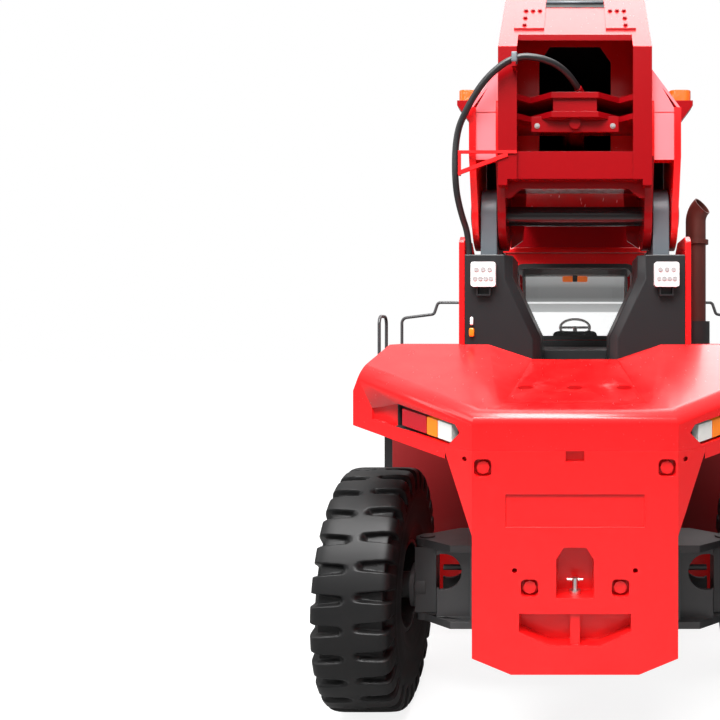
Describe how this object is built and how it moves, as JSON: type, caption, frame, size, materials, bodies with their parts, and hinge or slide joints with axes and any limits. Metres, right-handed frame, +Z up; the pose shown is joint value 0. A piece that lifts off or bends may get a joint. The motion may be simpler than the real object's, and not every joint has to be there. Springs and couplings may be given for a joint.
{
  "type": "reach stacker container handler",
  "caption": "Wheeled yard machine with a telescopic boom pivoted at the rear, a telescopic spreader that grips containers by their top corners, a cab amidships and a heavy rear counterweight.",
  "frame": {"origin": "on the ground under the middle of the bounding box", "axes": "+X to the machine's right, +Y to its front, +Z up"},
  "size_m": [6.093, 12.82, 5.15],
  "materials": {
    "red_paint": "gloss",
    "grey_paint": "satin",
    "bare_steel": "machined",
    "chrome_rod": "polished",
    "tyre_rubber": "matte",
    "black_plastic": "matte",
    "clear_glass": "clear",
    "amber_lens": "clear amber",
    "lamp_lens": "clear",
    "seat_cloth": "woven",
    "hose_rubber": "matte",
    "rim_paint": "satin",
    "exhaust_metal": "heat browned"
  },
  "bodies": {
    "chassis": {"chassis_frame": "red_paint", "counterweight": "red_paint", "tow_pin": "bare_steel", "rear_hood": "red_paint", "boom_tower": "grey_paint", "tower_plates": "red_paint", "tail_lamps": "lamp_lens", "work_lamps": "lamp_lens", "engine_cover": "grey_paint", "engine_block": "grey_paint", "side_decks": "red_paint", "fuel_tank": "red_paint", "hydraulic_tank": "red_paint", "steps": "grey_paint", "handrails": "grey_paint", "front_fenders": "red_paint", "front_axle": "grey_paint", "steer_axle": "grey_paint", "cab_floor": "grey_paint", "cab_roof": "red_paint", "cab_back": "red_paint", "cab_front": "red_paint", "cab_sides": "red_paint", "cab_glass": "clear_glass", "driver_seat": "seat_cloth", "control_console": "black_plastic", "exhaust_stack": "exhaust_metal"},
    "knuckle_left": {"knuckle_left": "grey_paint"},
    "rear_wheel_left": {"rear_rim_left": "rim_paint", "rear_tyre_left": "tyre_rubber"},
    "front_wheels_left": {"front_rims_left": "rim_paint", "front_tyres_left": "tyre_rubber"},
    "door_left": {"door_left": "red_paint", "door_glass_left": "clear_glass"},
    "lift_barrel_left": {"lift_barrel_left": "grey_paint"},
    "lift_rod_left": {"lift_rod_left": "chrome_rod"},
    "end_left": {"end_frame_left": "red_paint"},
    "knuckle_right": {"knuckle_right": "grey_paint"},
    "rear_wheel_right": {"rear_rim_right": "rim_paint", "rear_tyre_right": "tyre_rubber"},
    "front_wheels_right": {"front_rims_right": "rim_paint", "front_tyres_right": "tyre_rubber"},
    "door_right": {"door_right": "red_paint", "door_glass_right": "clear_glass"},
    "lift_barrel_right": {"lift_barrel_right": "grey_paint"},
    "lift_rod_right": {"lift_rod_right": "chrome_rod"},
    "end_right": {"end_frame_right": "red_paint"},
    "boom": {"boom_base": "red_paint", "boom_tail": "red_paint", "pivot_shaft": "bare_steel", "telescope_mount": "red_paint", "beacon_lamps": "amber_lens", "hose_upper": "hose_rubber", "hose_loop": "hose_rubber"},
    "boom_inner": {"boom_inner": "red_paint", "telescope_rod": "chrome_rod"},
    "hanger": {"hanger": "grey_paint"},
    "turntable": {"turntable": "grey_paint"},
    "spreader": {"spreader_frame": "red_paint"}
  },
  "joints": [
    {"name": "steer_left", "type": "hinge", "parent": "chassis", "child": "knuckle_left", "pos_m": [-1.05, -5.1, 0.885], "axis": [0, 0, 1], "range_deg": [-50, 50]},
    {"name": "rear_wheel_left_spin", "type": "hinge", "parent": "knuckle_left", "child": "rear_wheel_left", "pos_m": [-1.38, -5.1, 0.82], "axis": [1, 0, 0], "continuous": true},
    {"name": "front_wheels_left_spin", "type": "hinge", "parent": "chassis", "child": "front_wheels_left", "pos_m": [-1.535, 0.9, 0.82], "axis": [1, 0, 0], "continuous": true},
    {"name": "door_left_swing", "type": "hinge", "parent": "chassis", "child": "door_left", "pos_m": [-0.684, -2.964, 2.5], "axis": [0, 0, 1], "range_deg": [0, 80]},
    {"name": "lift_barrel_left_pivot", "type": "hinge", "parent": "chassis", "child": "lift_barrel_left", "pos_m": [-0.84, 0.39, 1.15], "axis": [1, 0, 0], "range_deg": [-1, 1]},
    {"name": "lift_rod_left_slide", "type": "slide", "parent": "lift_barrel_left", "child": "lift_rod_left", "axis": [0, -0.6508, 0.7593], "range_m": [-0.01, 3.051]},
    {"name": "steer_right", "type": "hinge", "parent": "chassis", "child": "knuckle_right", "pos_m": [1.05, -5.1, 0.885], "axis": [0, 0, 1], "range_deg": [-50, 50]},
    {"name": "rear_wheel_right_spin", "type": "hinge", "parent": "knuckle_right", "child": "rear_wheel_right", "pos_m": [1.38, -5.1, 0.82], "axis": [1, 0, 0], "continuous": true},
    {"name": "front_wheels_right_spin", "type": "hinge", "parent": "chassis", "child": "front_wheels_right", "pos_m": [1.535, 0.9, 0.82], "axis": [1, 0, 0], "continuous": true},
    {"name": "door_right_swing", "type": "hinge", "parent": "chassis", "child": "door_right", "pos_m": [0.684, -2.964, 2.5], "axis": [0, 0, -1], "range_deg": [0, 80]},
    {"name": "lift_barrel_right_pivot", "type": "hinge", "parent": "chassis", "child": "lift_barrel_right", "pos_m": [0.84, 0.39, 1.15], "axis": [1, 0, 0], "range_deg": [-1, 1]},
    {"name": "lift_rod_right_slide", "type": "slide", "parent": "lift_barrel_right", "child": "lift_rod_right", "axis": [0, -0.6508, 0.7593], "range_m": [-0.01, 3.051]},
    {"name": "boom_lift", "type": "hinge", "parent": "chassis", "child": "boom", "pos_m": [0, -5.01, 3.45], "axis": [1, 0, 0], "range_deg": [0, 60], "deforming": ["hose_loop"]},
    {"name": "boom_extend", "type": "slide", "parent": "boom", "child": "boom_inner", "axis": [0, -1, 0], "range_m": [-4.4, 1.5]},
    {"name": "hanger_level", "type": "hinge", "parent": "boom_inner", "child": "hanger", "pos_m": [0, 5.2, 3], "axis": [1, 0, 0], "range_deg": [-60, 0]},
    {"name": "turntable_slew", "type": "hinge", "parent": "hanger", "child": "turntable", "pos_m": [0, 5.2, 2.2], "axis": [0, 0, 1], "range_deg": [-105, 195]},
    {"name": "side_shift", "type": "slide", "parent": "turntable", "child": "spreader", "axis": [1, 0, 0], "range_m": [-0.8, 0.8]},
    {"name": "end_left_extend", "type": "slide", "parent": "spreader", "child": "end_left", "axis": [-1, 0, 0], "range_m": [0, 3.066]},
    {"name": "end_right_extend", "type": "slide", "parent": "spreader", "child": "end_right", "axis": [1, 0, 0], "range_m": [0, 3.066]}
  ],
  "couplings": [
    {"joint": "steer_right", "follows": "steer_left", "ratio": 1},
    {"joint": "hanger_level", "follows": "boom_lift", "ratio": -1},
    {"joint": "end_right_extend", "follows": "end_left_extend", "ratio": 1},
    {"joint": "lift_barrel_left_pivot", "follows": "boom_lift", "ratio": -0.00858},
    {"joint": "lift_rod_left_slide", "follows": "boom_lift", "m_per_rad": 2.904},
    {"joint": "lift_barrel_right_pivot", "follows": "boom_lift", "ratio": -0.00858},
    {"joint": "lift_rod_right_slide", "follows": "boom_lift", "m_per_rad": 2.904}
  ]
}
